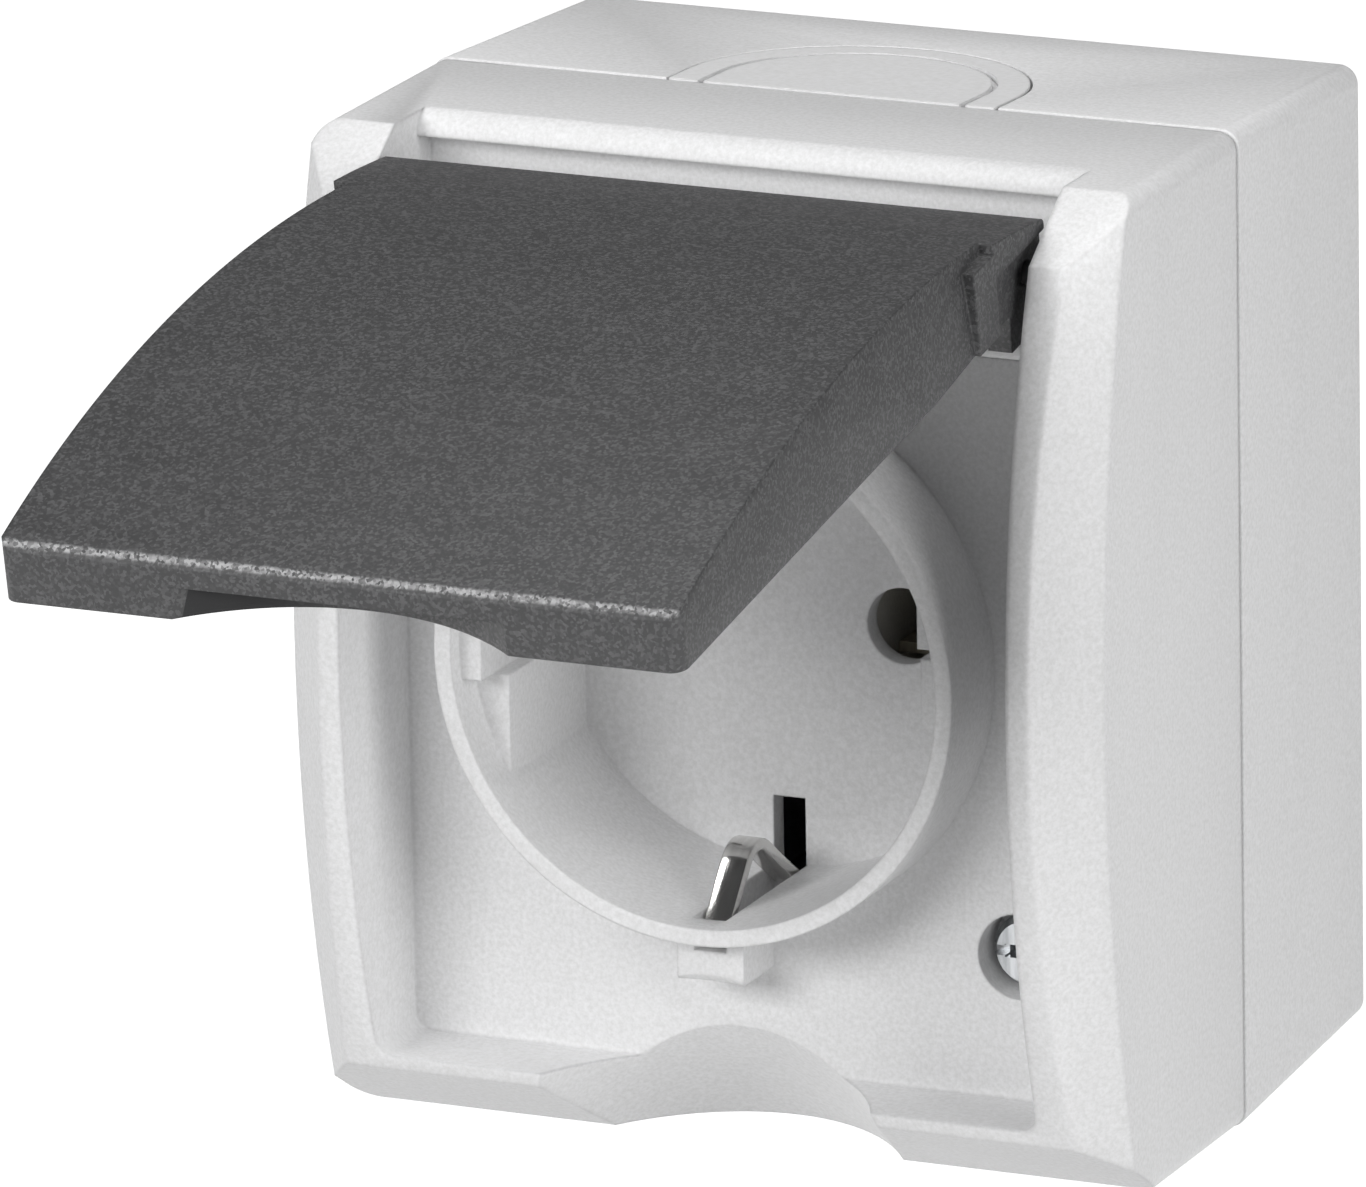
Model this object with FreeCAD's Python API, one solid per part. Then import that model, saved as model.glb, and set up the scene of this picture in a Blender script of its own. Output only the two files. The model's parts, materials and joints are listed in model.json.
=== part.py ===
import FreeCAD, Part
import math
import os

# Surface-mounted weatherproof socket with a hinged lid, in millimetres.
# The wall face is the plane Y = 0, the front looks along -Y, +Z is up.
# The origin is the middle of the wall face. The lid is modelled open.

# How far cutting bodies run past the faces they cut
over = 1.0
far_over = 5.0

# Plug well
well_radius = 19.5
well_wall = 1.3
well_depth = 17.46
well_floor_thickness = 1.8
collar_height = 8.16
rib_height = 5.4
rib_depth = 1.8
rib_front_setback = 1.6
ledge_depth = 3.0
ledge_reach = 11.0
ledge_setback = 3.8
pin_spacing = 19.0
pin_hole_radius = 2.95
clip_slot_width = 2.6
clip_slot_reach = 2.5
floor_slot_start = 5.3
floor_slot_rest = 1.0
clip_block_width = 5.4
clip_block_wall = 2.4
clip_block_setback = 2.6

# Room round the collar of the well, and what frames it
side_room = 5.95
room_below = 11.77
room_above = 11.33
cheek_width = 5.85
bottom_rim = 6.75
hinge_from_top = 5.45

# Front cover
cover_wall = 2.0
front_crown_depth = 56.6
front_crown_fall = 7.2
front_crown_z = 0.9
side_bevel_width = 4.1
side_bevel_depth = 4.7
side_bevel_fall = 5.65
top_bevel_height = 11.8
top_bevel_angle = 34.0
bottom_bevel_height = 14.8
bottom_bevel_angle = 31.0
corner_radius = 1.5
inner_corner = 0.5

# Recess for the lid, between the cheeks
recess_depth = 12.1
recess_corner = 1.5
plate_thickness = 2.0
pocket_depth = 6.0
pocket_reach = 8.0
top_edge_drop = 3.5
top_edge_width = 1.85

# Finger scoop in the bottom edge
scoop_radius = 16.0
scoop_rise = 3.2
scoop_angle = 45.0

# Rear housing
seam_depth = 25.65
seam_gap = 0.3
cover_reveal = 0.1
side_taper = 0.75
end_taper = 1.2
rear_wall = 2.0
back_wall = 2.5

# Cover screws, one low on the right and one high on the left
screw_from_cheek = 4.3
screw_from_bottom = 11.0
screw_from_pocket = 4.8
counterbore_radius = 3.3
screw_head_radius = 2.8
screw_head_sink = 1.3
screw_head_height = 2.2
screw_radius = 1.7
screw_clearance = 0.05
screw_cover_clearance = 0.1
screw_bite = 10.75
boss_wall = 1.6
screw_slot_width = 0.8
screw_slot_depth = 1.0
cross_width = 1.0
cross_span = 3.4
cross_depth = 1.6
screw_crown_height = 0.66
screw_crown_radius = 2.35

# Cable entries in the top and bottom walls
entry_drop = 4.25
entry_radius = 13.4
entry_ring_radius = 10.6
entry_gap = 0.2
entry_flange = 1.2
entry_flange_thickness = 1.2
ring_groove = 0.45

# Wall screw holes
wall_hole_spacing = 54.0
wall_hole_radius = 2.3

# Gasket in the seam
gasket_inset = 0.9
gasket_width = 1.0

# Lid, drawn closed in s (down from the hinge) and t (out from the rim plane)
lid_side_gap = 0.5
lid_end_gap = 0.4
lid_floor_gap = 2.7
hinge_rise = 1.94
lid_back = 3.4
lid_crown = 9.15
lid_crown_s = 29.5
lid_lip_height = 4.48
lid_wall = 1.5
lid_edge = 0.5
lid_back_edge = 0.9
lid_corner_ease = 0.3
lid_bevel_back = 18.4
lid_crease_height = 6.75
lid_bevel_radius = 58.0
lid_bevel_slope = 0.1
lid_bevel_height = 20.0
lid_open_angle = 80.07
lid_side_start = 6.6
lid_ear_inset = 0.6
lid_ear_thickness = 1.9
lid_ear_radius = 3.0
lid_ear_tie = 3.8
lid_cap_rise = 2.5
lid_ear_ease = 0.2
lid_relief_rise = 1.2
lid_foot_start = 0.4
lid_foot_length = 3.2
lid_foot_drop = 4.8
notch_height = 2.5
arch_radius = 21.0
arch_rise = 4.5
arch_wall = 1.2
seal_overhang = 0.6
seal_width = 2.8
seal_back_gap = 0.3
lid_seal_gap = 0.3

# Hinge pins
hinge_pin_radius = 0.9
hinge_clearance = 0.05
hinge_pin_grip = 0.02
hinge_pin_bite = 3.2

# Contact carrier and contacts
carrier_drop = 15.4
carrier_thickness = 4.0
carrier_height = 20.0
carrier_end = 2.6
floor_gap = 0.3
tower_half_width = 3.9
tower_half_height = 5.6
channel_half_height = 4.2
channel_half_width = 3.2
contact_thickness = 0.8
contact_width = 4.0
contact_spacing = 4.6
contact_front_inset = 1.5
contact_seat = 2.6
contact_play = 0.2
contact_room = 0.6
terminal_from_pin = 8.4
terminal_size = 6.6
terminal_height = 8.6
terminal_screw_radius = 1.5
terminal_slot_depth = 0.8
wire_hole_width = 3.2
wire_hole_start = 1.2
post_from_terminal = 3.5
carrier_screw_z = 7.4
carrier_post_radius = 2.4
carrier_screw_radius = 1.2
carrier_head_radius = 2.2
carrier_head_height = 1.4
carrier_screw_rest = 2.0

# Earth strap with its two clips
strap_width = 2.2
strap_thickness = 0.9
strap_drop = 3.9
strap_rib_margin = 1.5
strap_rib_drop = 5.0
clip_peak_reach = 3.9
clip_peak_setback = 9.46
clip_bend = 2.6
clip_turns = 8
clip_front_setback = 3.76
clip_front_inset = 1.1
clip_back_inset = 1.6
clip_back_rise = 0.4
earth_drop = 12.37
earth_block = 6.4
seat_gap = 0.05

# Places that follow from the sizes above
collar_outer = well_radius + well_wall
recess_half = collar_outer + side_room
cover_width = 2 * (recess_half + cheek_width)
cover_height = 2 * collar_outer + room_below + room_above + bottom_rim + hinge_from_top
hinge_z = cover_height / 2 - hinge_from_top
well_centre_z = hinge_z - room_above - collar_outer
recess_bottom = bottom_rim - cover_height / 2
pocket_bottom = hinge_z - pocket_reach
top_edge_z = cover_height / 2 - top_edge_width
scoop_top_z = recess_bottom + scoop_rise
screw_x = recess_half - screw_from_cheek
lower_screw_z = recess_bottom + screw_from_bottom
upper_screw_z = pocket_bottom - screw_from_pocket

width_at_seam = cover_width + 2 * cover_reveal
height_at_seam = cover_height + 2 * cover_reveal
width_at_wall = width_at_seam - 2 * side_taper
height_at_wall = height_at_seam - 2 * end_taper
seam_rear = seam_depth - seam_gap / 2
seam_front = seam_depth + seam_gap / 2
entry_depth = seam_depth - entry_drop

front_crown_radius = (cover_height ** 2 / 4 + front_crown_fall ** 2) / (2 * front_crown_fall)
side_bevel_radius = (cover_height ** 2 / 4 + side_bevel_fall ** 2) / (2 * side_bevel_fall)
recess_floor = front_crown_depth - recess_depth
pocket_floor = recess_floor - pocket_depth
top_edge_depth = recess_floor - top_edge_drop
head_seat = recess_floor - screw_head_sink - screw_head_height

well_rim_depth = recess_floor + collar_height
well_floor = well_rim_depth - well_depth
well_back = well_floor - well_floor_thickness
clip_slot_radius = well_radius + clip_slot_reach

lid_rim_depth = recess_floor + lid_floor_gap
lid_half_width = recess_half - lid_side_gap
lid_length = hinge_z - recess_bottom - lid_end_gap
lid_fall = lid_crown - lid_lip_height
lid_bevel_s = lid_length - lid_bevel_back
lid_bevel_t = lid_crease_height - lid_bevel_radius
lid_crown_radius = ((lid_length - lid_crown_s) ** 2 + lid_fall ** 2) / (2 * lid_fall)
ear_outer = lid_half_width - lid_ear_inset
ear_inner = ear_outer - lid_ear_thickness
pin_outer_x = ear_outer + hinge_pin_bite
seal_face = well_rim_depth + lid_seal_gap
seal_outer_radius = collar_outer + seal_overhang
seal_inner_radius = seal_outer_radius - seal_width

carrier_front = well_back - carrier_drop
carrier_back = carrier_front - carrier_thickness
tower_front = well_back - floor_gap
terminal_x = pin_spacing / 2 + terminal_from_pin
terminal_front = carrier_front + terminal_height
carrier_screw_x = terminal_x + post_from_terminal
strap_bar_depth = well_back - strap_drop
strap_seat = strap_bar_depth - strap_thickness - seat_gap
earth_z = well_centre_z - earth_drop


def point(x, depth, z):
    """A point given by its depth in front of the wall."""
    return FreeCAD.Vector(x, -depth, z)


def box(x0, x1, depth0, depth1, z0, z1):
    """A box between two depths in front of the wall."""
    corner = FreeCAD.Vector(min(x0, x1), -max(depth0, depth1), min(z0, z1))
    size = (abs(x1 - x0), abs(depth1 - depth0), abs(z1 - z0))
    return Part.makeBox(size[0], size[1], size[2], corner)


def rod(x, z, radius, depth0, depth1):
    """A cylinder along Y between two depths."""
    start = point(x, min(depth0, depth1), z)
    return Part.makeCylinder(radius, abs(depth1 - depth0), start, FreeCAD.Vector(0, -1, 0))


def cone(x, z, radius0, radius1, depth0, depth1):
    """A truncated cone along Y, radius0 at depth0 and radius1 at depth1."""
    return Part.makeCone(radius0, radius1, depth1 - depth0, point(x, depth0, z), FreeCAD.Vector(0, -1, 0))


def outline(width, height, radius, depth, centre_z=0.0):
    """A rectangle with round corners, standing at one depth."""
    hw = width / 2
    hh = height / 2
    k = radius * (1 - math.sqrt(0.5))
    edges = []
    corners = [(hw, hh, 1, 1), (-hw, hh, -1, 1), (-hw, -hh, -1, -1), (hw, -hh, 1, -1)]
    last = None
    first = None
    for x, z, sx, sz in corners:
        side = point(x, depth, centre_z + z - sz * radius)
        end = point(x - sx * radius, depth, centre_z + z)
        middle = point(x - sx * k, depth, centre_z + z - sz * k)
        start, stop = (side, end) if sx * sz > 0 else (end, side)
        if last is not None:
            edges.append(Part.LineSegment(last, start).toShape())
        else:
            first = start
        edges.append(Part.Arc(start, middle, stop).toShape())
        last = stop
    edges.append(Part.LineSegment(last, first).toShape())
    return Part.Wire(edges)


def slab(width, height, radius, depth0, depth1, centre_z=0.0):
    """The rounded rectangle pushed from one depth to another."""
    face = Part.Face(outline(width, height, radius, depth0, centre_z))
    return face.extrude(FreeCAD.Vector(0, depth0 - depth1, 0))


def prism(points, x0, x1):
    """A polygon of (depth, z) points pushed along X."""
    corners = [point(x0, d, z) for d, z in points]
    wire = Part.makePolygon(corners + corners[:1])
    return Part.Face(wire).extrude(FreeCAD.Vector(x1 - x0, 0, 0))


def housing_size(depth):
    """Width and height of the rear housing's outside at a depth."""
    share = depth / seam_depth
    width = width_at_wall + share * (width_at_seam - width_at_wall)
    height = height_at_wall + share * (height_at_seam - height_at_wall)
    return width, height


def housing_form(inset, depth0, depth1):
    """The rear housing's tapered form, moved inwards by an inset.

    Four slanting prisms, one pushed along each corner edge, meet in it."""
    radius = max(corner_radius - inset, inner_corner)
    width0, height0 = housing_size(depth0)
    width1, height1 = housing_size(depth1)
    face = Part.Face(outline(width1 - 2 * inset, height1 - 2 * inset, radius, depth1))
    form = None
    for sx, sz in ((1, 1), (-1, 1), (-1, -1), (1, -1)):
        across = sx * (width0 - width1) / 2
        up = sz * (height0 - height1) / 2
        slanted = face.extrude(FreeCAD.Vector(across, depth1 - depth0, up))
        form = slanted if form is None else form.common(slanted)
    return form


def entry_cutter(radius):
    """A D-shaped post that runs out through the top wall."""
    inner = height_at_wall / 2 - rear_wall - entry_gap - entry_flange_thickness - over
    outer = height_at_seam / 2 + over
    post = Part.makeCylinder(radius, outer - inner, point(0, entry_depth, inner), FreeCAD.Vector(0, 0, 1))
    return post.fuse(box(-radius, radius, entry_depth, seam_depth + radius, inner, outer))


def turned_over(shape):
    """A copy turned half round the Y axis, so the top one comes to the bottom."""
    turned = shape.copy()
    turned.rotate(FreeCAD.Vector(0, 0, 0), FreeCAD.Vector(0, 1, 0), 180)
    return turned


def boss_places():
    return [(screw_x, lower_screw_z), (-screw_x, upper_screw_z)]


def post_places():
    return [(carrier_screw_x, well_centre_z + carrier_screw_z),
            (-carrier_screw_x, well_centre_z - carrier_screw_z)]


def make_rear_housing():
    body = housing_form(0.0, 0.0, seam_rear)
    body = body.cut(housing_form(rear_wall, back_wall, seam_depth + over))
    boss_radius = screw_radius + screw_clearance + boss_wall
    for x, z in boss_places():
        body = body.fuse(rod(x, z, boss_radius, back_wall / 2, seam_rear))
    for x, z in post_places():
        body = body.fuse(rod(x, z, carrier_post_radius, back_wall / 2, carrier_back))
    for z in (-wall_hole_spacing / 2, wall_hole_spacing / 2):
        body = body.cut(rod(0, z, wall_hole_radius, -over, back_wall + over))
    for x, z in boss_places():
        body = body.cut(rod(x, z, screw_radius + screw_clearance, back_wall, seam_depth + over))
    for x, z in post_places():
        body = body.cut(rod(x, z, carrier_screw_radius + screw_clearance, back_wall, carrier_front))
    opening = entry_cutter(entry_radius)
    return body.cut(opening).cut(turned_over(opening))


def housing_shell(outer_inset, inner_inset):
    """The part of the housing's form that lies between two insets."""
    outer = housing_form(outer_inset, 0.0, seam_rear)
    return outer.cut(housing_form(inner_inset, -over, seam_depth + over))


def make_cable_entry():
    """A knock-out plug that fills the U-shaped gap in the top wall."""
    radius = entry_radius - entry_gap
    flange_front = rear_wall + entry_gap
    flange_back = flange_front + entry_flange_thickness
    plug = housing_shell(0.0, rear_wall).common(entry_cutter(radius))
    neck = housing_shell(rear_wall / 2, flange_back).common(entry_cutter(radius - entry_flange))
    flange = housing_shell(flange_front, flange_back).common(entry_cutter(entry_radius + entry_flange))
    flange = flange.cut(box(-width_at_seam, width_at_seam, -over, back_wall, -height_at_seam, height_at_seam))
    plug = plug.fuse(neck).fuse(flange)
    ring = entry_cutter(entry_ring_radius + ring_groove / 2)
    ring = ring.cut(entry_cutter(entry_ring_radius - ring_groove / 2))
    return plug.cut(housing_shell(-over, ring_groove).common(ring)).removeSplitter()


def make_housing_gasket():
    width, height = housing_size(seam_depth)
    radius = corner_radius - gasket_inset
    ring = slab(width - 2 * gasket_inset, height - 2 * gasket_inset, radius, seam_rear, seam_front)
    inset = gasket_inset + gasket_width
    hole = slab(width - 2 * inset, height - 2 * inset, inner_corner, seam_rear - over, seam_front + over)
    return ring.cut(hole)


def turned_crown(points, centre_depth):
    """A (x, radius) profile turned about a cross axis at one depth."""
    corners = [point(x, centre_depth + r, front_crown_z) for x, r in points]
    face = Part.Face(Part.makePolygon(corners + corners[:1]))
    return face.revolve(point(0, centre_depth, front_crown_z), FreeCAD.Vector(1, 0, 0), 360)


def crown_body():
    """Front of the cover: a flatter cone bevels each side of the crown."""
    half = cover_width / 2
    wide = half + over
    core = front_crown_radius / 2 - cover_height / 2
    crown = turned_crown([(-wide, core), (-wide, front_crown_radius), (wide, front_crown_radius), (wide, core)],
                         front_crown_depth - front_crown_radius)
    rise = side_bevel_depth / side_bevel_width
    top = side_bevel_radius + half * rise
    low = side_bevel_radius - over * rise
    core = side_bevel_radius / 2
    bevel = turned_crown([(-wide, core), (-wide, low), (0, top), (wide, low), (wide, core)],
                         front_crown_depth - side_bevel_depth - side_bevel_radius)
    return crown.common(bevel)


def end_wedge(side, height, angle):
    """What the sloping bevel takes off the top (1) or bottom (-1) end."""
    slope = math.tan(math.radians(angle))
    start = front_crown_depth - height
    half = cover_height / 2
    reach = front_crown_depth - seam_depth
    inner = (start - reach, side * (half + reach * slope))
    outer = (start + reach, side * (half - reach * slope))
    points = [inner, outer, (start + reach, side * (half + reach * slope))]
    return prism(points, -cover_width, cover_width)


def cover_form():
    """The cover's outside, before the recess is taken out."""
    block = slab(cover_width, cover_height, corner_radius, seam_front, front_crown_depth + over)
    form = block.common(crown_body())
    form = form.cut(end_wedge(1, top_bevel_height, top_bevel_angle))
    return form.cut(end_wedge(-1, bottom_bevel_height, bottom_bevel_angle))


def recess_cut():
    """Space between the cheeks: lid recess, hinge pocket and open top."""
    half = recess_half
    front = front_crown_depth + far_over
    height = 2 * (pocket_bottom - recess_bottom)
    cut = slab(2 * half, height, recess_corner, recess_floor, front, recess_bottom + height / 2)
    pocket = box(-half, half, pocket_floor, front, pocket_bottom, top_edge_z)
    nose_depth = top_edge_depth - top_edge_width
    top = box(-half, half, nose_depth, front, top_edge_z, cover_height)
    top = top.cut(Part.makeCylinder(top_edge_width, 2 * half, point(-half, nose_depth, top_edge_z),
                                    FreeCAD.Vector(1, 0, 0)))
    limit = box(-cover_width, cover_width, recess_floor - over, front, recess_bottom - over, top_edge_z)
    return cut.common(limit).fuse(pocket).fuse(top)


def cover_cavity():
    """The inside of the cover, open towards the rear housing."""
    width = cover_width - 2 * cover_wall
    height = cover_height - 2 * cover_wall
    deep = slab(width, height, inner_corner, seam_depth - over, pocket_floor - cover_wall)
    low = recess_bottom + cover_wall
    high = pocket_bottom - cover_wall
    back = pocket_floor - cover_wall - over
    shallow = box(-width / 2, width / 2, back, recess_floor - plate_thickness, low, high)
    return deep.fuse(shallow)


def scoop_tool(radius):
    """Slanting cylinder that meets the plate at the top of the scoop."""
    angle = math.radians(scoop_angle)
    along = FreeCAD.Vector(0, math.sin(angle), -math.cos(angle))
    offset = FreeCAD.Vector(0, -math.cos(angle), -math.sin(angle))
    start = point(0, recess_floor, scoop_top_z) + offset * scoop_radius - along * (front_crown_depth / 2)
    return Part.makeCylinder(radius, front_crown_depth, start, along)


def make_collar():
    """Tube of the plug well with its floor and the two clip housings."""
    tube = rod(0, well_centre_z, collar_outer, well_back, well_rim_depth)
    for side in (1, -1):
        z0 = well_centre_z + side * well_radius
        z1 = well_centre_z + side * (clip_slot_radius + clip_block_wall)
        half = clip_block_width / 2
        tube = tube.fuse(box(-half, half, well_back, well_rim_depth - clip_block_setback, z0, z1))
    return tube


def well_cut():
    """The hollow of the well, less its ribs and ledges, with slots and holes."""
    bore = rod(0, well_centre_z, well_radius, well_floor, well_rim_depth + over)
    for side in (1, -1):
        far = side * (well_radius + over)
        half = rib_height / 2
        rib_front = well_rim_depth - rib_front_setback
        bore = bore.cut(box(side * (well_radius - rib_depth), far, well_floor - over, rib_front,
                            well_centre_z - half, well_centre_z + half))
        bore = bore.cut(box(side * (well_radius - ledge_depth), far, well_floor - over,
                            well_rim_depth - ledge_setback, well_centre_z + side * half,
                            well_centre_z + side * ledge_reach))
    half = clip_slot_width / 2
    back = well_back - over
    for side in (1, -1):
        z0 = well_centre_z + side * (well_radius - over)
        z1 = well_centre_z + side * clip_slot_radius
        bore = bore.fuse(box(-half, half, well_floor, well_rim_depth - clip_block_setback, z0, z1))
        z0 = well_centre_z + side * (well_radius - floor_slot_start)
        z1 = well_centre_z + side * (clip_slot_radius - floor_slot_rest)
        bore = bore.fuse(box(-half, half, back, well_floor + over, z0, z1))
        bore = bore.fuse(rod(side * pin_spacing / 2, well_centre_z, pin_hole_radius, back, well_floor + over))
    return bore


def hinge_point(x):
    return point(x, lid_rim_depth + hinge_rise, hinge_z)


def hinge_rod(side, radius, x0, x1):
    """A cylinder on the hinge line, on the right (1) or left (-1)."""
    return Part.makeCylinder(radius, x1 - x0, hinge_point(side * x0), FreeCAD.Vector(side, 0, 0))


def make_front_cover():
    form = cover_form()
    recess = recess_cut()
    body = form.cut(recess).cut(cover_cavity())
    body = body.fuse(scoop_tool(scoop_radius + cover_wall).common(form).cut(recess))
    for x, z in boss_places():
        boss = rod(x, z, counterbore_radius + boss_wall, seam_front, recess_floor - plate_thickness / 2)
        body = body.fuse(boss.cut(recess))
    body = body.fuse(make_collar()).cut(well_cut())
    body = body.cut(scoop_tool(scoop_radius))
    for x, z in boss_places():
        body = body.cut(rod(x, z, counterbore_radius, head_seat, recess_floor + over))
        body = body.cut(rod(x, z, screw_radius + screw_cover_clearance, seam_depth - over, head_seat + over))
    for side in (1, -1):
        radius = hinge_pin_radius + hinge_pin_grip
        body = body.cut(hinge_rod(side, radius, recess_half - over, pin_outer_x + hinge_pin_grip))
    return body.removeSplitter()


def make_cover_screw(x, z):
    """Pan head with a slot and a cross, on a plain shank."""
    top = recess_floor - screw_head_sink
    shoulder = top - screw_crown_height
    end = seam_depth - screw_bite
    screw = rod(x, z, screw_head_radius, head_seat, shoulder)
    screw = screw.fuse(cone(x, z, screw_head_radius, screw_crown_radius, shoulder, top))
    screw = screw.fuse(rod(x, z, screw_radius, end, head_seat))
    half = screw_slot_width / 2
    reach = screw_head_radius + over
    screw = screw.cut(box(x - reach, x + reach, top - screw_slot_depth, top + over, z - half, z + half))
    half = cross_width / 2
    span = cross_span / 2
    screw = screw.cut(box(x - span, x + span, top - cross_depth, top + over, z - half, z + half))
    screw = screw.cut(box(x - half, x + half, top - cross_depth, top + over, z - span, z + span))
    return screw.removeSplitter()


def lid_point(x, s, t):
    """A point of the closed lid: s down from the hinge, t out from the rim."""
    return point(x, lid_rim_depth + t, hinge_z - s)


def crown_height(s, inset=0.0):
    """Height of the lid's arched outside, or of an inset copy of it."""
    radius = lid_crown_radius - inset
    fall = radius - math.sqrt(radius ** 2 - (s - lid_crown_s) ** 2)
    return lid_crown - inset - fall


def lid_slice(s0, s1, low, inset, half):
    """The arched profile between two places, pushed across the lid."""
    middle = (s0 + s1) / 2
    a = lid_point(-half, s0, low)
    b = lid_point(-half, s0, crown_height(s0, inset))
    c = lid_point(-half, middle, crown_height(middle, inset))
    d = lid_point(-half, s1, crown_height(s1, inset))
    e = lid_point(-half, s1, low)
    edges = [Part.LineSegment(a, b).toShape(), Part.Arc(b, c, d).toShape(),
             Part.LineSegment(d, e).toShape(), Part.LineSegment(e, a).toShape()]
    return Part.Face(Part.Wire(edges)).extrude(FreeCAD.Vector(2 * half, 0, 0))


def lid_box(x0, x1, s0, s1, t0, t1):
    """A box in the closed lid's own s and t."""
    return box(x0, x1, lid_rim_depth + t0, lid_rim_depth + t1, hinge_z - s0, hinge_z - s1)


def lid_side_bevel():
    """Turned body whose steep cone slopes the lid's sides in above a curved crease."""
    axis = lid_point(0, lid_bevel_s, lid_bevel_t)
    outer = lid_bevel_radius + lid_bevel_height
    top = lid_half_width - lid_bevel_height * lid_bevel_slope
    core = lid_bevel_radius - lid_length / 2
    wide = lid_half_width + over
    low = lid_bevel_radius - lid_crown
    points = [(-wide, core), (-wide, low), (-lid_half_width, low), (-lid_half_width, lid_bevel_radius),
              (-top, outer), (top, outer), (lid_half_width, lid_bevel_radius), (lid_half_width, low),
              (wide, low), (wide, core)]
    corners = [FreeCAD.Vector(x, axis.y - r, axis.z) for x, r in points]
    face = Part.Face(Part.makePolygon(corners + corners[:1]))
    return face.revolve(axis, FreeCAD.Vector(1, 0, 0), 360)


def lid_edge_wedge(s, way, size):
    """What breaks the sharp edge where the arch meets one end of the lid."""
    t = crown_height(s)
    points = [(s - way * (size + far_over), t + far_over), (s + way * far_over, t + far_over),
              (s + way * far_over, t - size - far_over)]
    half = lid_half_width + over
    return prism([(lid_rim_depth + b, hinge_z - a) for a, b in points], -half, half)


def lid_arched_block():
    """The lid's full-width block: arched over, round in its corners, end edges broken."""
    form = lid_slice(-lid_back, lid_length, 0.0, 0.0, lid_half_width)
    length = lid_length + lid_back
    plan = slab(2 * lid_half_width, length, recess_corner - lid_corner_ease, lid_rim_depth - over,
                lid_rim_depth + lid_crown + over, hinge_z - lid_length + length / 2)
    form = form.common(plan).cut(lid_edge_wedge(lid_length, 1, lid_edge))
    return form.cut(lid_edge_wedge(-lid_back, -1, lid_back_edge))


def lid_closed():
    """The lid's shell with its two hinge ears, in its closed place."""
    inner = lid_half_width - lid_wall
    wide = lid_half_width + over
    block = lid_arched_block()
    body = block.common(lid_side_bevel())
    body = body.cut(lid_slice(-lid_back + lid_wall, lid_length - lid_wall, -over, lid_wall, inner))
    # The side walls stop short of the hinge: a pad ends each, and an ear set in from it carries the pin.
    relief = hinge_rise + lid_relief_rise
    body = body.cut(lid_box(-wide, wide, -lid_back - over, lid_side_start, -over, relief))
    tie = lid_side_start + lid_ear_tie
    top = crown_height(lid_side_start) - lid_wall / 2
    barrel_radius = lid_ear_radius - lid_ear_ease
    under_skin = lid_slice(-barrel_radius, lid_length, -far_over, lid_wall / 2, lid_half_width)
    for side in (1, -1):
        x0 = side * ear_inner
        x1 = side * ear_outer
        edge = side * lid_half_width
        cap = lid_box(x0, edge, -lid_back, lid_side_start, hinge_rise + lid_cap_rise, lid_crown).common(block)
        pad = lid_box(x0, edge, lid_side_start, tie, 0.0, top)
        ear = lid_box(x0, x1, -barrel_radius, lid_side_start + over, hinge_rise, top).common(under_skin)
        web = lid_box(x0, x1, 0, lid_side_start + over, 0.0, hinge_rise + over)
        foot = lid_box(x0, x1, lid_foot_start, lid_foot_start + lid_foot_length, hinge_rise - lid_foot_drop,
                       hinge_rise)
        barrel = hinge_rod(side, barrel_radius, ear_inner, ear_outer)
        body = body.fuse(cap).fuse(pad).fuse(ear).fuse(web).fuse(foot).fuse(barrel)
        bore = hinge_rod(side, hinge_pin_radius + hinge_clearance, ear_inner - over, ear_outer + over)
        body = body.cut(bore)
    return body


def arch_rod(radius, t0, t1):
    """A cylinder on the axis of the finger notch, between two heights above the rim."""
    z = hinge_z - lid_length + arch_rise - arch_radius
    return rod(0, z, radius, lid_rim_depth + t0, lid_rim_depth + t1)


def make_lid_shape():
    """The lid with its finger notch and the curved wall behind the notch."""
    wall = arch_rod(arch_radius + arch_wall, -over, lid_crown + over)
    wall = wall.common(lid_slice(lid_side_start, lid_length - lid_wall / 2, 0.0, lid_wall / 2,
                                 lid_half_width - lid_wall / 2))
    body = lid_closed().fuse(wall.cut(arch_rod(arch_radius, -over, lid_crown + over)))
    return body.cut(arch_rod(arch_radius, -over, notch_height)).removeSplitter()


def opened(shape):
    """Turn a closed lid piece about the hinge line to the open place."""
    turned = shape.copy()
    turned.rotate(hinge_point(0), FreeCAD.Vector(1, 0, 0), -lid_open_angle)
    return turned


def make_lid_gasket():
    """Soft ring on the underside of the lid that meets the rim of the well."""
    deep = lid_rim_depth + lid_crown
    ring = rod(0, well_centre_z, seal_outer_radius, seal_face, deep)
    ring = ring.cut(rod(0, well_centre_z, seal_inner_radius, seal_face - over, deep + over))
    return ring.common(lid_slice(0, lid_length, -over, lid_wall + seal_back_gap, lid_half_width))


def make_hinge_pin(side):
    return hinge_rod(side, hinge_pin_radius, ear_inner, pin_outer_x)


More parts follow.
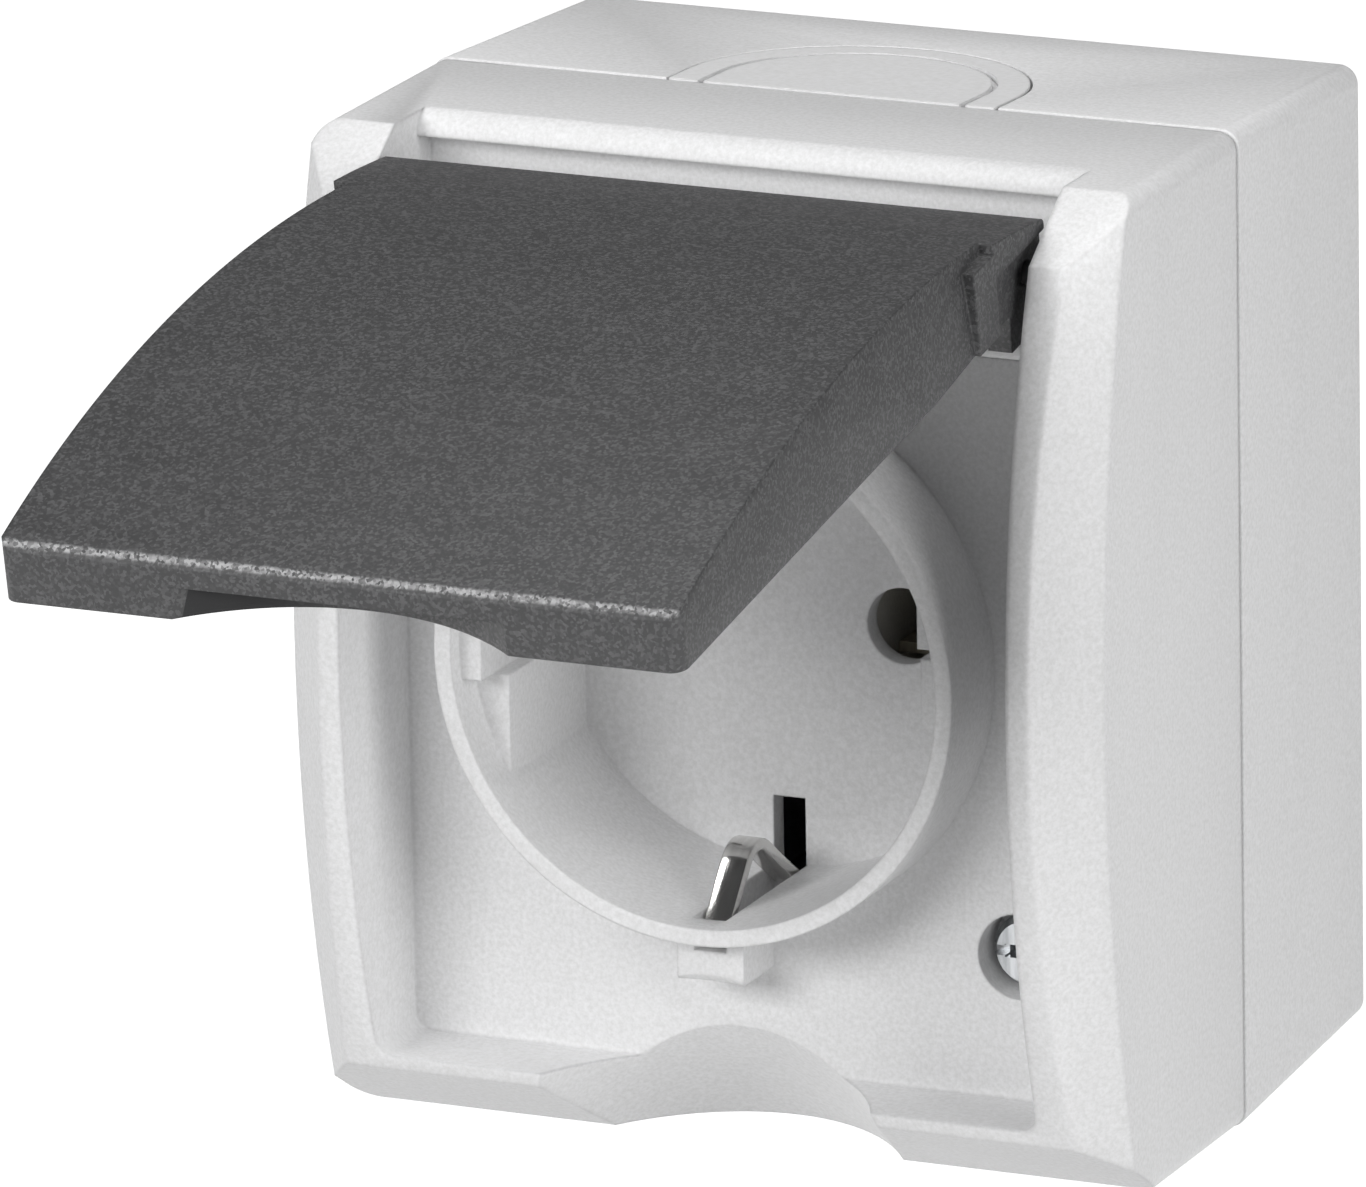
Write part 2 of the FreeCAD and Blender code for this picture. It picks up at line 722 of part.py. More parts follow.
def make_contact_carrier():
    """Plate with a tower behind each pin hole and a rib that carries the earth strap."""
    half = carrier_height / 2
    end = carrier_screw_x + carrier_end
    body = box(-end, end, carrier_back, carrier_front, well_centre_z - half, well_centre_z + half)
    rib = strap_width / 2 + strap_rib_margin
    body = body.fuse(box(-rib, rib, carrier_back, strap_seat,
                         well_centre_z - strap_rib_drop, well_centre_z + half))
    for side in (1, -1):
        x = side * pin_spacing / 2
        body = body.fuse(box(x - tower_half_width, x + tower_half_width, carrier_back, tower_front,
                             well_centre_z - tower_half_height, well_centre_z + tower_half_height))
    for side in (1, -1):
        x = side * pin_spacing / 2
        seat = carrier_back + contact_seat
        body = body.cut(box(x - channel_half_width, x + channel_half_width, seat, tower_front + over,
                            well_centre_z - channel_half_height, well_centre_z + channel_half_height))
        gap = contact_width / 2 + contact_play
        body = body.cut(box(x, side * (terminal_x - terminal_size / 2 + over),
                            carrier_front - contact_thickness - contact_room, carrier_front + over,
                            well_centre_z - gap, well_centre_z + gap))
    for x, z in post_places():
        body = body.cut(rod(x, z, carrier_screw_radius + screw_cover_clearance, carrier_back - over,
                            carrier_front + over))
    return body.removeSplitter()


def make_contact(side):
    """Two facing spring leaves on a foot, and a tail to the terminal."""
    x = side * pin_spacing / 2
    half = contact_width / 2
    inner = contact_spacing / 2
    front = tower_front - contact_front_inset
    foot_depth = carrier_back + contact_seat + seat_gap
    body = box(x - half, x + half, foot_depth, foot_depth + contact_thickness,
               well_centre_z - inner - contact_thickness, well_centre_z + inner + contact_thickness)
    for way in (1, -1):
        z0 = well_centre_z + way * inner
        z1 = well_centre_z + way * (inner + contact_thickness)
        body = body.fuse(box(x - half, x + half, foot_depth, front, z0, z1))
    tail_end = side * (terminal_x - terminal_size / 2)
    body = body.fuse(box(x, tail_end, carrier_front - contact_thickness, carrier_front,
                         well_centre_z - half, well_centre_z + half))
    riser = box(x, x + side * half, foot_depth, carrier_front, well_centre_z - half, well_centre_z + half)
    return body.fuse(riser).removeSplitter()


def make_terminal(x, z, back, size):
    """Brass block with a square cross hole for the wire and a screw hole from the front."""
    half = size / 2
    front = back + terminal_height
    wire = wire_hole_width / 2
    body = box(x - half, x + half, back, front, z - half, z + half)
    body = body.cut(box(x - wire, x + wire, back + wire_hole_start, back + wire_hole_start + wire_hole_width,
                        z - half - over, z + half + over))
    return body.cut(rod(x, z, terminal_screw_radius + screw_clearance, back + wire_hole_start + wire,
                        front + over))


def slot_cut(x, z, radius, depth, top):
    """A straight screwdriver slot across a round head."""
    half = screw_slot_width / 2
    return box(x - radius - over, x + radius + over, top - depth, top + over, z - half, z + half)


def make_terminal_screw(x, z, front):
    """Headless slotted screw in a terminal block, its tip above the wire hole."""
    tip = front - terminal_height + wire_hole_start + wire_hole_width
    screw = rod(x, z, terminal_screw_radius, tip, front)
    return screw.cut(slot_cut(x, z, terminal_screw_radius, terminal_slot_depth, front))


def strip(points, width):
    """A bent strip along (depth, z) points, its thickness laid to one side."""
    left = []
    right = []
    count = len(points)
    for i in range(count):
        before = points[max(i - 1, 0)]
        after = points[min(i + 1, count - 1)]
        here = points[i]
        d0 = (here[0] - before[0], here[1] - before[1])
        d1 = (after[0] - here[0], after[1] - here[1])
        l0 = math.hypot(*d0)
        l1 = math.hypot(*d1)
        u0 = (d0[0] / l0, d0[1] / l0) if l0 > 0 else (d1[0] / l1, d1[1] / l1)
        u1 = (d1[0] / l1, d1[1] / l1) if l1 > 0 else u0
        nx = -(u0[1] + u1[1])
        nz = u0[0] + u1[0]
        length = math.hypot(nx, nz)
        grow = strap_thickness / length ** 2
        left.append((here[0] + nx * grow, here[1] + nz * grow))
        right.append((here[0] - nx * grow, here[1] - nz * grow))
    return prism(left + right[::-1], -width / 2, width / 2)


def tangent_angle(foot, centre, radius, way):
    """Angle at which a line from a foot touches the circle, on one side."""
    dx = foot[0] - centre[0]
    dz = foot[1] - centre[1]
    return math.atan2(dz, dx) + way * math.acos(radius / math.hypot(dx, dz))


def clip_route(side):
    """Centre line of one earth clip: straight legs to a round top, from the bar to the front end."""
    centre = (well_rim_depth - clip_peak_setback, well_radius - clip_peak_reach + clip_bend)
    back = (well_floor + clip_back_rise, clip_slot_radius - clip_back_inset)
    front = (well_rim_depth - clip_front_setback, clip_slot_radius - clip_front_inset)
    start = tangent_angle(back, centre, clip_bend, 1)
    stop = tangent_angle(front, centre, clip_bend, -1)
    if start > 0:
        start -= 2 * math.pi
    if stop > start + 2 * math.pi:
        stop -= 2 * math.pi
    bar = strap_bar_depth - strap_thickness / 2
    points = [(bar, 0.0), (bar, back[1]), back]
    for i in range(clip_turns + 1):
        angle = start + (stop - start) * i / clip_turns
        points.append((centre[0] + clip_bend * math.cos(angle), centre[1] + clip_bend * math.sin(angle)))
    points.append(front)
    return [(depth, well_centre_z + side * radius) for depth, radius in points]


def make_earth_strap():
    body = strip(clip_route(1), strap_width).fuse(strip(clip_route(-1), strap_width))
    half = earth_block / 2
    tab = box(-half, half, strap_bar_depth - strap_thickness, strap_bar_depth,
              earth_z - half, earth_z + half)
    body = body.fuse(tab)
    return body.cut(rod(0, earth_z, terminal_screw_radius + screw_cover_clearance, 0, front_crown_depth))


def make_carrier_screw(x, z):
    """Small screw that holds the carrier on its post."""
    seat = carrier_front + seat_gap
    top = seat + carrier_head_height
    screw = rod(x, z, carrier_head_radius, seat, top)
    screw = screw.fuse(rod(x, z, carrier_screw_radius, back_wall + carrier_screw_rest, seat))
    return screw.cut(slot_cut(x, z, carrier_head_radius, carrier_head_height / 2, top))


def build_nodes():
    """Every piece of the socket by its node name."""
    nodes = {}
    nodes["rear_housing"] = make_rear_housing()
    nodes["cable_entry_top"] = make_cable_entry()
    nodes["cable_entry_bottom"] = turned_over(nodes["cable_entry_top"])
    nodes["housing_gasket"] = make_housing_gasket()
    nodes["front_cover"] = make_front_cover()
    lower, upper = boss_places()
    nodes["cover_screw_lower"] = make_cover_screw(*lower)
    nodes["cover_screw_upper"] = make_cover_screw(*upper)
    nodes["lid"] = opened(make_lid_shape())
    nodes["lid_gasket"] = opened(make_lid_gasket())
    nodes["hinge_pin_right"] = make_hinge_pin(1)
    nodes["hinge_pin_left"] = make_hinge_pin(-1)
    nodes["contact_carrier"] = make_contact_carrier()
    right_post, left_post = post_places()
    nodes["carrier_screw_right"] = make_carrier_screw(*right_post)
    nodes["carrier_screw_left"] = make_carrier_screw(*left_post)
    earth_back = strap_seat - terminal_height
    for side, name in ((1, "live"), (-1, "neutral")):
        x = side * terminal_x
        nodes[name + "_contact"] = make_contact(side)
        nodes[name + "_terminal"] = make_terminal(x, well_centre_z, carrier_front + seat_gap, terminal_size)
        nodes["terminal_screw_" + name] = make_terminal_screw(x, well_centre_z, terminal_front + seat_gap)
    nodes["earth_strap"] = make_earth_strap()
    nodes["earth_terminal"] = make_terminal(0, earth_z, earth_back, earth_block)
    nodes["terminal_screw_earth"] = make_terminal_screw(0, earth_z, strap_bar_depth)
    return nodes


os.makedirs("parts", exist_ok=True)
for node, shape in build_nodes().items():
    solid = shape.Solids[0] if len(shape.Solids) == 1 else shape
    size = solid.BoundBox
    print(node, len(shape.Solids), round(shape.Volume, 1), shape.isValid(),
          [round(v, 1) for v in (size.XMin, size.XMax, size.YMin, size.YMax, size.ZMin, size.ZMax)])
    solid.exportStep("parts/" + node + ".step")
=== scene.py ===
import json
import math

import bmesh
import bpy
import numpy as np
from mathutils import Matrix, Vector


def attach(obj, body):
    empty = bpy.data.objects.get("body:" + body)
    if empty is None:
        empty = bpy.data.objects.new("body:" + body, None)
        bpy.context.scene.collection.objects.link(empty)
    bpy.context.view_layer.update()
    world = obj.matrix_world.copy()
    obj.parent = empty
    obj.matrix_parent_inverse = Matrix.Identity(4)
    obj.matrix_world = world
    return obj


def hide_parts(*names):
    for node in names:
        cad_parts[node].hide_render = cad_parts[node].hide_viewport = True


# Weatherproof wall socket with its lid open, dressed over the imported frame.
# Metres throughout; the front looks along -Y and +Z is up.

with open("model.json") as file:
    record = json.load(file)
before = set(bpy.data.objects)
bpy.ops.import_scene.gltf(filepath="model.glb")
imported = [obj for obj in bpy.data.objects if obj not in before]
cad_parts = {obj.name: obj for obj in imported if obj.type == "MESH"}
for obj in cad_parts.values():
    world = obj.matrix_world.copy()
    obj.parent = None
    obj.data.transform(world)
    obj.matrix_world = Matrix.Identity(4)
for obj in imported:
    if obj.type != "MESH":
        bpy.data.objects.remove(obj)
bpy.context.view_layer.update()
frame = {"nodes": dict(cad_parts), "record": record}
mm = 0.001

# Places on the object that the finishes, the painted highlight and the painted shadow follow
cheek_inside_x = 26.0 * mm
rim_top_z = -31.2 * mm
lip_edge = (0.0, -112.5 * mm, 24.45 * mm)
notch_half_width = 12.9 * mm
notch_rib_front_y = -111.7 * mm
notch_rib_top_z = 23.2 * mm

# Edges that only the shading rounds
fine_edge_mm = 0.3
lid_edge_mm = 0.25
edge_samples = 6

# Edges that are rolled over in the mesh
rolled_edge_steps = 3
rolled_edge_angle = math.radians(24.0)
flat_angle = math.radians(0.4)
merge_distance = 0.5e-6


# Colours and materials

def linear(code):
    """Linear colour of an sRGB hex value."""
    values = [int(code[i:i + 2], 16) / 255 for i in (1, 3, 5)]
    return [v / 12.92 if v <= 0.04045 else ((v + 0.055) / 1.055) ** 2.4 for v in values] + [1.0]


def add(tree, kind, settings=None, inputs=None, stops=()):
    """A node of one kind: its settings, values or links for its inputs, and its ramp's stops."""
    node = tree.nodes.new(kind)
    for name, value in (settings or {}).items():
        setattr(node, name, value)
    for name, value in (inputs or {}).items():
        if isinstance(value, bpy.types.NodeSocket):
            tree.links.new(value, node.inputs[name])
        else:
            node.inputs[name].default_value = value
    for index, (place, code) in enumerate(stops):
        node.color_ramp.elements[index].position = place
        node.color_ramp.elements[index].color = linear(code)
    return node


def surface(name, **values):
    """A new material and its tree, with uniform values on its Principled shader's sockets."""
    material = bpy.data.materials.new(name)
    material.use_nodes = True
    tree = material.node_tree
    shader = tree.nodes["Principled BSDF"]
    for key, value in values.items():
        shader.inputs[key.replace("_", " ")].default_value = value
    where = add(tree, "ShaderNodeTexCoord").outputs["Object"]
    return material, tree, shader, where


def edge_radius(tree, where, wide_mm):
    """Radius to round edges by: wide on the cheeks and the bottom rim, fine on all else."""
    place = add(tree, "ShaderNodeSeparateXYZ", None, {"Vector": where}).outputs
    beside = add(tree, "ShaderNodeMath", {"operation": "ABSOLUTE"}, {0: place["X"]}).outputs[0]
    beside = add(tree, "ShaderNodeMath", {"operation": "GREATER_THAN"},
                 {0: beside, 1: cheek_inside_x}).outputs[0]
    below = add(tree, "ShaderNodeMath", {"operation": "LESS_THAN"},
                {0: place["Z"], 1: rim_top_z}).outputs[0]
    either = add(tree, "ShaderNodeMath", {"operation": "MAXIMUM"}, {0: beside, 1: below}).outputs[0]
    return add(tree, "ShaderNodeMapRange", None,
               {"Value": either, "To Min": fine_edge_mm * mm,
                "To Max": wide_mm * mm}).outputs["Result"]


def grain_plastic(name, dark, light, roughness, grain_mm, depth_mm,
                  cloud_mm=9.0, ior=1.5, wide_mm=fine_edge_mm):
    """Moulded plastic: a fine spark-eroded grain in tone and height, and a faint cloudy gloss.

    Such a grain is usually about 0.1 mm or finer. It is drawn at 0.25 to 0.5 mm, coarser than
    real, so that it shows."""
    gloss_swing = 0.05
    material, tree, shader, where = surface(name, IOR=ior)
    cloud = add(tree, "ShaderNodeTexNoise", None,
                {"Vector": where, "Scale": 1 / (cloud_mm * mm), "Detail": 3.0}).outputs["Fac"]
    grain = add(tree, "ShaderNodeTexNoise", None,
                {"Vector": where, "Scale": 1 / (grain_mm * mm), "Detail": 2.0,
                 "Roughness": 0.6}).outputs["Fac"]
    tone = add(tree, "ShaderNodeValToRGB", None, {"Fac": grain}, ((0.3, dark), (0.7, light)))
    gloss = add(tree, "ShaderNodeMapRange", None,
                {"Value": cloud, "To Min": roughness - gloss_swing,
                 "To Max": roughness + gloss_swing})
    edge = add(tree, "ShaderNodeBevel", {"samples": edge_samples},
               {"Radius": edge_radius(tree, where, wide_mm)}).outputs["Normal"]
    bump = add(tree, "ShaderNodeBump", None,
               {"Height": grain, "Strength": 1.0, "Distance": depth_mm * mm, "Normal": edge})
    tree.links.new(tone.outputs["Color"], shader.inputs["Base Color"])
    tree.links.new(gloss.outputs["Result"], shader.inputs["Roughness"])
    tree.links.new(bump.outputs["Normal"], shader.inputs["Normal"])
    return material


def lip_line(tree, where):
    """1 on the line along the lip's upper edge, falling to 0 with the distance from it.

    The distance is the length of the offset from the line in Y and Z alone."""
    core, reach = 0.1 * mm, 0.42 * mm
    offset = add(tree, "ShaderNodeVectorMath", {"operation": "SUBTRACT"},
                 {0: where, 1: lip_edge}).outputs["Vector"]
    across = add(tree, "ShaderNodeVectorMath", {"operation": "MULTIPLY"},
                 {0: offset, 1: (0.0, 1.0, 1.0)}).outputs["Vector"]
    distance = add(tree, "ShaderNodeVectorMath", {"operation": "LENGTH"},
                   {0: across}).outputs["Value"]
    return add(tree, "ShaderNodeMapRange", {"interpolation_type": "SMOOTHSTEP"},
               {"Value": distance, "From Min": core, "From Max": reach,
                "To Min": 1.0, "To Max": 0.0}).outputs["Result"]


def notch_rib(tree, where):
    """1 on the left of the rib behind the lip's notch, fading to 0 towards its right."""
    fade_start_x, fade_end_x = 1.0 * mm, -8.0 * mm
    place = add(tree, "ShaderNodeSeparateXYZ", None, {"Vector": where}).outputs
    beside = add(tree, "ShaderNodeMath", {"operation": "ABSOLUTE"}, {0: place["X"]}).outputs[0]
    within = add(tree, "ShaderNodeMath", {"operation": "LESS_THAN"},
                 {0: beside, 1: notch_half_width}).outputs[0]
    left = add(tree, "ShaderNodeMapRange", {"interpolation_type": "SMOOTHSTEP"},
               {"Value": place["X"], "From Min": fade_start_x,
                "From Max": fade_end_x}).outputs["Result"]
    behind = add(tree, "ShaderNodeMath", {"operation": "GREATER_THAN"},
                 {0: place["Y"], 1: notch_rib_front_y}).outputs[0]
    under = add(tree, "ShaderNodeMath", {"operation": "LESS_THAN"},
                {0: place["Z"], 1: notch_rib_top_z}).outputs[0]
    rib = within
    for limit in (left, behind, under):
        rib = add(tree, "ShaderNodeMath", {"operation": "MULTIPLY"}, {0: rib, 1: limit}).outputs[0]
    return rib


def lid_finish():
    """Anthracite polycarbonate with a fine eroded grain and pale flakes in it.

    The grain breaks the sheen up, so the top looks soft. Grain and flakes are usually about
    0.1 mm or finer, and are drawn at about twice that, coarser than real, so that they show."""
    grain_size, flake_size, cloud_size = 0.24 * mm, 0.22 * mm, 6 * mm
    grain_depth, line_depth = 0.022 * mm, 0.06 * mm
    material, tree, shader, where = surface("anthracite_grained_lid", IOR=1.55)
    grain = add(tree, "ShaderNodeTexNoise", None,
                {"Vector": where, "Scale": 1 / grain_size, "Detail": 3.0,
                 "Roughness": 0.7}).outputs["Fac"]
    flakes = add(tree, "ShaderNodeTexVoronoi", {"feature": "F1"},
                 {"Vector": where, "Scale": 1 / flake_size, "Randomness": 1.0})
    pick = add(tree, "ShaderNodeSeparateColor", None,
               {"Color": flakes.outputs["Color"]}).outputs["Red"]
    cloud = add(tree, "ShaderNodeTexNoise", None,
                {"Vector": where, "Scale": 1 / cloud_size, "Detail": 2.0}).outputs["Fac"]
    base = add(tree, "ShaderNodeValToRGB", None, {"Fac": cloud},
               ((0.3, "#303031"), (0.7, "#353536"))).outputs["Color"]
    bright = add(tree, "ShaderNodeValToRGB", None, {"Fac": pick},
                 ((0.4, "#000000"), (1.0, "#606061"))).outputs["Color"]
    tone = add(tree, "ShaderNodeMix", {"data_type": "RGBA", "blend_type": "ADD"},
               {"Factor": 0.5, "A": base, "B": bright}).outputs["Result"]

    # Painted by place: a pale, shinier line 0.4 mm wide on the lip's upper edge. It copies a
    # bright line in the photograph that is probably a highlight, which these lamps don't make.
    line = lip_line(tree, where)
    painted_highlight = add(tree, "ShaderNodeMath", {"operation": "MULTIPLY"}, {0: line, 1: pick}).outputs[0]
    tone = add(tree, "ShaderNodeMix", {"data_type": "RGBA"},
               {"Factor": painted_highlight, "A": tone, "B": linear("#ACACAD")}).outputs["Result"]
    gloss = add(tree, "ShaderNodeMapRange", None, {"Value": painted_highlight, "To Min": 0.56, "To Max": 0.26})
    depth = add(tree, "ShaderNodeMapRange", None,
                {"Value": line, "To Min": grain_depth, "To Max": line_depth})

    # Painted by place: a darker, duller left end of the rib behind the lip's notch. It copies
    # what is most likely a shadow in the photograph, which these lamps don't throw. The export
    # drops the linked specular level, so only the tone goes along.
    rib = notch_rib(tree, where)
    tone = add(tree, "ShaderNodeMix", {"data_type": "RGBA"},
               {"Factor": rib, "A": tone, "B": linear("#343435")}).outputs["Result"]
    shine = add(tree, "ShaderNodeMapRange", None, {"Value": rib, "To Min": 0.5, "To Max": 0.15})

    edge = add(tree, "ShaderNodeBevel", {"samples": edge_samples},
               {"Radius": lid_edge_mm * mm}).outputs["Normal"]
    bump = add(tree, "ShaderNodeBump", None,
               {"Height": grain, "Strength": 1.0, "Distance": depth.outputs["Result"],
                "Normal": edge})
    tree.links.new(tone, shader.inputs["Base Color"])
    tree.links.new(gloss.outputs["Result"], shader.inputs["Roughness"])
    tree.links.new(shine.outputs["Result"], shader.inputs["Specular IOR Level"])
    tree.links.new(bump.outputs["Normal"], shader.inputs["Normal"])
    return material


def plated_metal(name, dark, light, roughness, streak_mm, depth_mm=0.0024):
    """Plated metal: bright, with faint drawing streaks along the strip that blur its mirroring.

    Real drawing lines are far finer. They are drawn 0.4 to 0.6 mm apart, coarser than real,
    so that they show."""
    along_strip = 0.12
    material, tree, shader, where = surface(name, Metallic=1.0)
    drawn = add(tree, "ShaderNodeMapping", None,
                {"Vector": where, "Scale": (1.0, along_strip, along_strip)}).outputs["Vector"]
    streak = add(tree, "ShaderNodeTexNoise", None,
                 {"Vector": drawn, "Scale": 1 / (streak_mm * mm), "Detail": 3.0}).outputs["Fac"]
    tone = add(tree, "ShaderNodeValToRGB", None, {"Fac": streak}, ((0.3, dark), (0.7, light)))
    gloss = add(tree, "ShaderNodeMapRange", None,
                {"Value": streak, "To Min": roughness - 0.04, "To Max": roughness + 0.08})
    bump = add(tree, "ShaderNodeBump", None,
               {"Height": streak, "Strength": 1.0, "Distance": depth_mm * mm})
    tree.links.new(tone.outputs["Color"], shader.inputs["Base Color"])
    tree.links.new(gloss.outputs["Result"], shader.inputs["Roughness"])
    tree.links.new(bump.outputs["Normal"], shader.inputs["Normal"])
    return material


# Each finish: name, darker and lighter tone, roughness, grain or streak size and depth in mm
finishes = {
    # ABS shell, moulded with a very fine grain: pale, matt, with soft broad highlights
    "cover_plastic": grain_plastic("pale_grey_moulded_abs", "#DADADA", "#E9E9EA",
                                   0.46, 0.35, 0.006, wide_mm=0.6),
    # the rear tray comes from another mould and is a shade greyer and duller
    "housing_plastic": grain_plastic("grey_moulded_abs_tray", "#D9D9D9", "#E8E8E9",
                                     0.52, 0.35, 0.008),
    # softer knock-out plug, a little smoother than the tray round it
    "entry_plastic": grain_plastic("grey_moulded_polypropylene", "#E4E4E4", "#EEEEEF",
                                   0.46, 0.5, 0.006),
    "lid_plastic": lid_finish(),
    # black-grey moulded rubber, dull, with a slightly dusty tone
    "seal_rubber": grain_plastic("dark_moulded_rubber", "#2C2C2D", "#353536",
                                 0.75, 0.25, 0.01, ior=1.52),
    # blue-white zinc plating on pressed steel screws
    "zinc_steel": plated_metal("zinc_plated_steel", "#8E9092", "#B4B6B8", 0.2, 0.5),
    # dark moulded polyamide pins, a little oily where they turn
    "pin_plastic": grain_plastic("dark_moulded_polyamide", "#2E2E2F", "#363637",
                                 0.42, 0.4, 0.004, ior=1.53),
    # glass-filled polyamide of the contact block, dry and slightly mottled
    "carrier_plastic": grain_plastic("glass_filled_polyamide", "#C9C7C1", "#D5D3CD",
                                     0.6, 0.3, 0.012, cloud_mm=4.0),
    # brass strip and bar with a thin flash of tin: warm grey, half dull
    "contact_brass": plated_metal("tin_flashed_brass", "#A39C8C", "#B9B3A5", 0.34, 0.4),
    # nickel over brass, polished by rolling: it mirrors the small lamp on the left in streaks
    "nickel_brass": plated_metal("nickel_plated_brass", "#CFCECC", "#E2E1DF", 0.12, 0.6, 0.01),
}


# CAD nodes keep their shape and take the finish of their slot

slots = {entry["node"]: entry["material_slot"] for entry in frame["record"]["subparts"]}
for node, piece in frame["nodes"].items():
    finish = finishes[slots[node]]
    if not piece.material_slots:
        piece.data.materials.append(finish)
    for slot in piece.material_slots:
        slot.material = finish


def rolled_copy(node, name, body, radius_mm):
    """A merged copy of a CAD node whose sharp edges are rolled over.

    Every edge between two faces that turn by more than rolled_edge_angle becomes an arc whose
    width on each side is the radius."""
    mesh = frame["nodes"][node].data.copy()
    mesh.name = name
    work = bmesh.new()
    work.from_mesh(mesh)
    bmesh.ops.remove_doubles(work, verts=work.verts, dist=merge_distance)
    bmesh.ops.dissolve_limit(work, angle_limit=flat_angle, verts=work.verts, edges=work.edges)
    for face in work.faces:
        face.smooth = True
    work.to_mesh(mesh)
    work.free()
    piece = bpy.data.objects.new(name, mesh)
    bpy.context.scene.collection.objects.link(piece)
    bevel = piece.modifiers.new("rolled_edges", "BEVEL")
    bevel.width = radius_mm * mm
    bevel.segments = rolled_edge_steps
    bevel.limit_method = "ANGLE"
    bevel.angle_limit = rolled_edge_angle
    bevel.harden_normals = True
    bevel.miter_outer = "MITER_SHARP"
    mesh.materials.clear()
    mesh.materials.append(finishes[slots[node]])
    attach(piece, body)
    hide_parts(node)


rolled_copy("front_cover", "cover_shell", "housing", 0.35)
rolled_copy("rear_housing", "rear_tray", "housing", 0.15)
rolled_copy("lid", "lid_shell", "lid", 0.3)
rolled_copy("earth_strap", "earth_clip_strip", "housing", 0.45)


# Floor, light and camera

white = (1, 1, 1, 1)


def studio_paper():
    """Pale matt paper, lifted to white less its shadow for the camera, mirrors and glass."""
    cloud_scale = 40.0
    lift = 0.97
    material, tree, shader, where = surface("pale_studio_paper", Roughness=0.9)
    cloud = add(tree, "ShaderNodeTexNoise", None,
                {"Vector": where, "Scale": cloud_scale, "Detail": 2.0}).outputs["Fac"]
    tone = add(tree, "ShaderNodeValToRGB", None, {"Fac": cloud},
               ((0.3, "#CACACA"), (0.7, "#CECECE")))
    tree.links.new(tone.outputs["Color"], shader.inputs["Base Color"])
    path = add(tree, "ShaderNodeLightPath")
    seen = add(tree, "ShaderNodeMath", {"operation": "MAXIMUM"},
               {0: path.outputs["Is Camera Ray"], 1: path.outputs["Is Glossy Ray"]})
    seen = add(tree, "ShaderNodeMath", {"operation": "MAXIMUM"},
               {0: seen.outputs[0], 1: path.outputs["Is Transmission Ray"]})
    glow = add(tree, "ShaderNodeEmission", None, {"Color": white, "Strength": lift})
    both = add(tree, "ShaderNodeAddShader", None, {0: shader.outputs[0], 1: glow.outputs[0]})
    mix = add(tree, "ShaderNodeMixShader", None,
              {0: seen.outputs[0], 1: shader.outputs[0], 2: both.outputs[0]})
    tree.links.new(mix.outputs[0], tree.nodes["Material Output"].inputs["Surface"])
    return material


def make_floor():
    """A flat square grid well below the socket: z is the same everywhere.

    Each point and its neighbours in both directions make a square face."""
    half_side, lines, height = 3.0, 7, -0.3
    steps = np.linspace(-half_side, half_side, lines)
    across, along = np.meshgrid(steps, steps)
    points = np.stack([across, along, np.full_like(across, height)], axis=-1)
    index = np.arange(lines * lines).reshape(lines, lines)
    corners = [index[:-1, :-1], index[:-1, 1:], index[1:, 1:], index[1:, :-1]]
    faces = np.stack(corners, axis=-1).reshape(-1, 4)
    mesh = bpy.data.meshes.new("studio_floor")
    mesh.from_pydata(points.reshape(-1, 3).tolist(), [], faces.tolist())
    mesh.update()
    mesh.materials.append(studio_paper())
    floor = bpy.data.objects.new("studio_floor", mesh)
    bpy.context.scene.collection.objects.link(floor)


make_floor()


def area_light(name, place, width, height, power):
    """A soft rectangular lamp of so many watts at a place, turned to the socket's middle."""
    middle = (0.0, -0.04, 0.0)
    data = bpy.data.lights.new(name, "AREA")
    data.shape = "RECTANGLE"
    data.size = width
    data.size_y = height
    data.energy = power
    lamp = bpy.data.objects.new(name, data)
    bpy.context.scene.collection.objects.link(lamp)
    turn = (Vector(place) - Vector(middle)).to_track_quat("Z", "Y").to_matrix().to_4x4()
    lamp.matrix_world = Matrix.Translation(place) @ turn


area_light("front_softbox", (-0.38, -1.37, 0.6), 0.95, 0.5, 14.4)
area_light("top_lamp", (-0.05, 0.1, 1.15), 0.5, 0.5, 5.1)
area_light("right_fill", (1.14, -0.4, 0.31), 0.8, 0.8, 9.8)
# small, and placed so that the earth clip mirrors it past the lid's left edge
area_light("glint_lamp", (-0.62, -0.68, 0.98), 0.36, 0.18, 2.8)


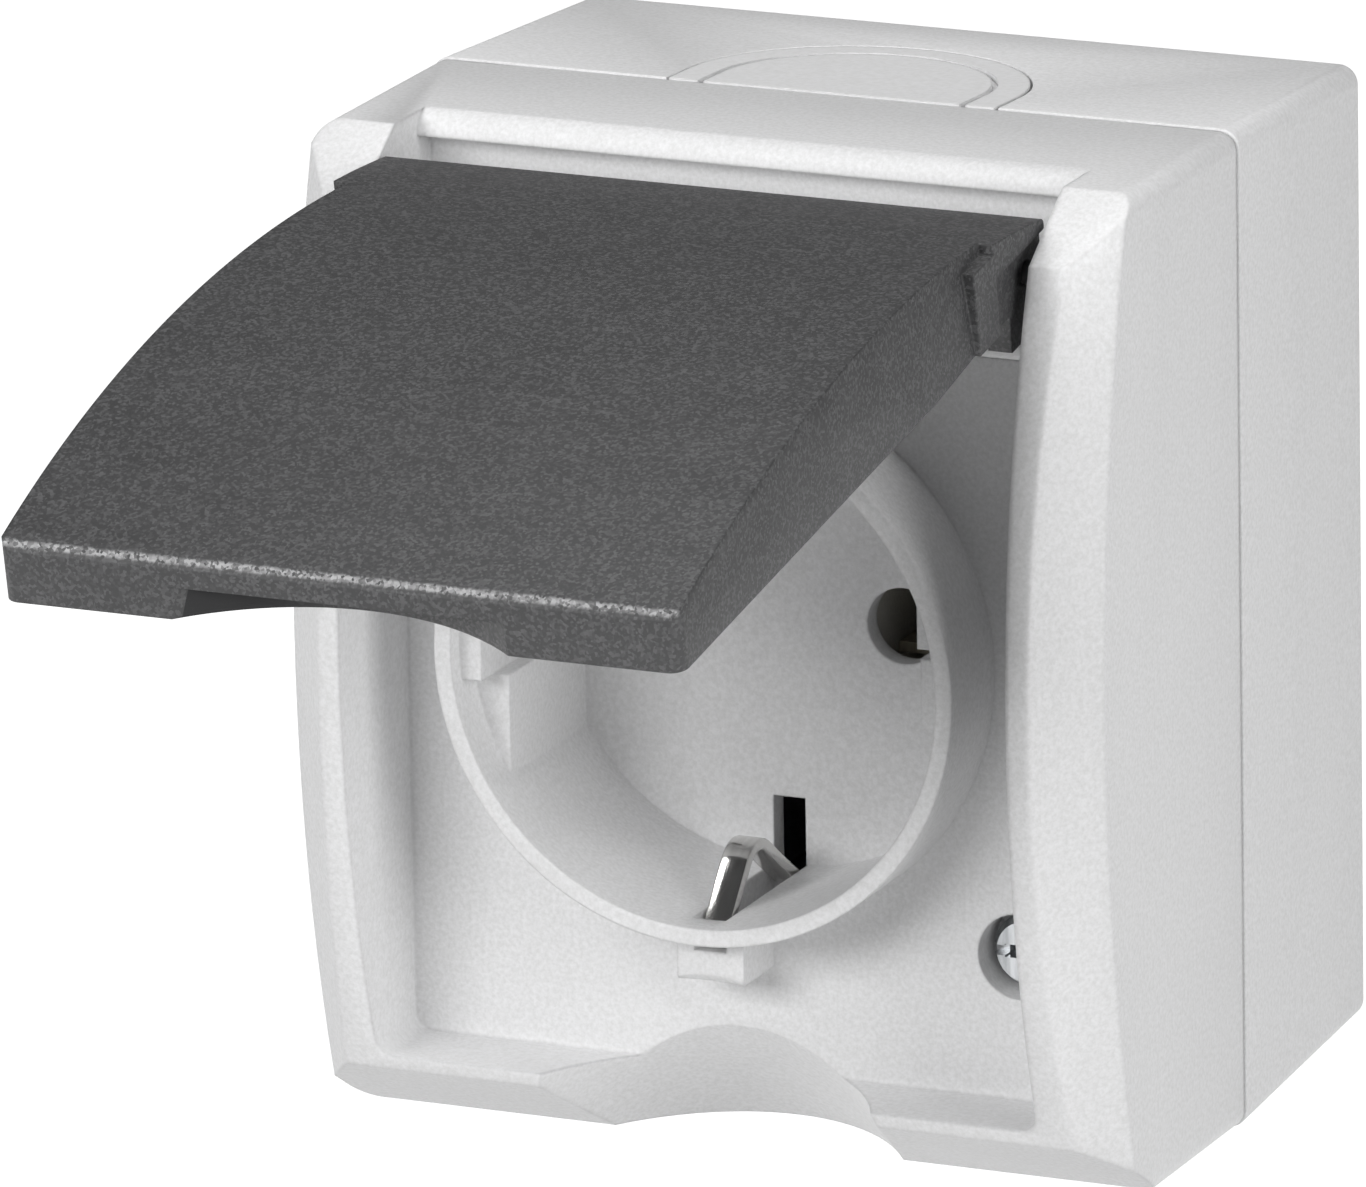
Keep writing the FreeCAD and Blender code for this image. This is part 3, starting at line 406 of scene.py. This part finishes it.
def make_world():
    """A room that is white to the camera and through glass, and gives almost no light itself.

    Mirrors see it grey, not white."""
    room_light, mirror_light = 0.01, 0.22
    world = bpy.data.worlds.new("studio_room")
    bpy.context.scene.world = world
    world.use_nodes = True
    tree = world.node_tree
    path = add(tree, "ShaderNodeLightPath")
    room = tree.nodes["Background"]
    room.inputs["Color"].default_value = white
    strength = add(tree, "ShaderNodeMath", {"operation": "MULTIPLY_ADD"},
                   {0: path.outputs["Is Glossy Ray"], 1: mirror_light, 2: room_light}).outputs[0]
    tree.links.new(strength, room.inputs["Strength"])
    backdrop = add(tree, "ShaderNodeBackground", None, {"Color": white, "Strength": 1.0})
    seen = add(tree, "ShaderNodeMath", {"operation": "MAXIMUM"},
               {0: path.outputs["Is Camera Ray"], 1: path.outputs["Is Transmission Ray"]})
    mix = add(tree, "ShaderNodeMixShader", None,
              {0: seen.outputs[0], 1: room.outputs[0], 2: backdrop.outputs[0]})
    tree.links.new(mix.outputs[0], tree.nodes["World Output"].inputs["Surface"])


make_world()


def make_camera():
    """The photograph's long lens: turned 24.35 degrees to the right, 16.05 up and 1.04 in roll.

    It stands back along its own axis, a little to the left of the origin and below it."""
    image_width, focal_pixels, sensor_mm = 1366, 16130.13, 36.0
    distance, to_left, down = 1.230795, 0.02206, 0.006781
    side, rise, roll = (math.radians(a) for a in (24.354, 16.054, -1.041))
    back = Vector((math.sin(side) * math.cos(rise), -math.cos(side) * math.cos(rise),
                   math.sin(rise)))
    right = Vector((math.cos(side), math.sin(side), 0.0))
    up = back.cross(right)
    across = math.cos(roll) * right + math.sin(roll) * up
    over = -math.sin(roll) * right + math.cos(roll) * up
    place = back * distance - across * to_left - over * down
    data = bpy.data.cameras.new("photo_camera")
    data.sensor_width = sensor_mm
    data.lens = sensor_mm * focal_pixels / image_width
    data.clip_start = 0.05
    data.clip_end = 20.0
    camera = bpy.data.objects.new("photo_camera", data)
    bpy.context.scene.collection.objects.link(camera)
    turn = Matrix((across, over, back)).transposed().to_4x4()
    camera.matrix_world = Matrix.Translation(place) @ turn
    bpy.context.scene.camera = camera


make_camera()
bpy.context.scene.view_settings.view_transform = "Standard"
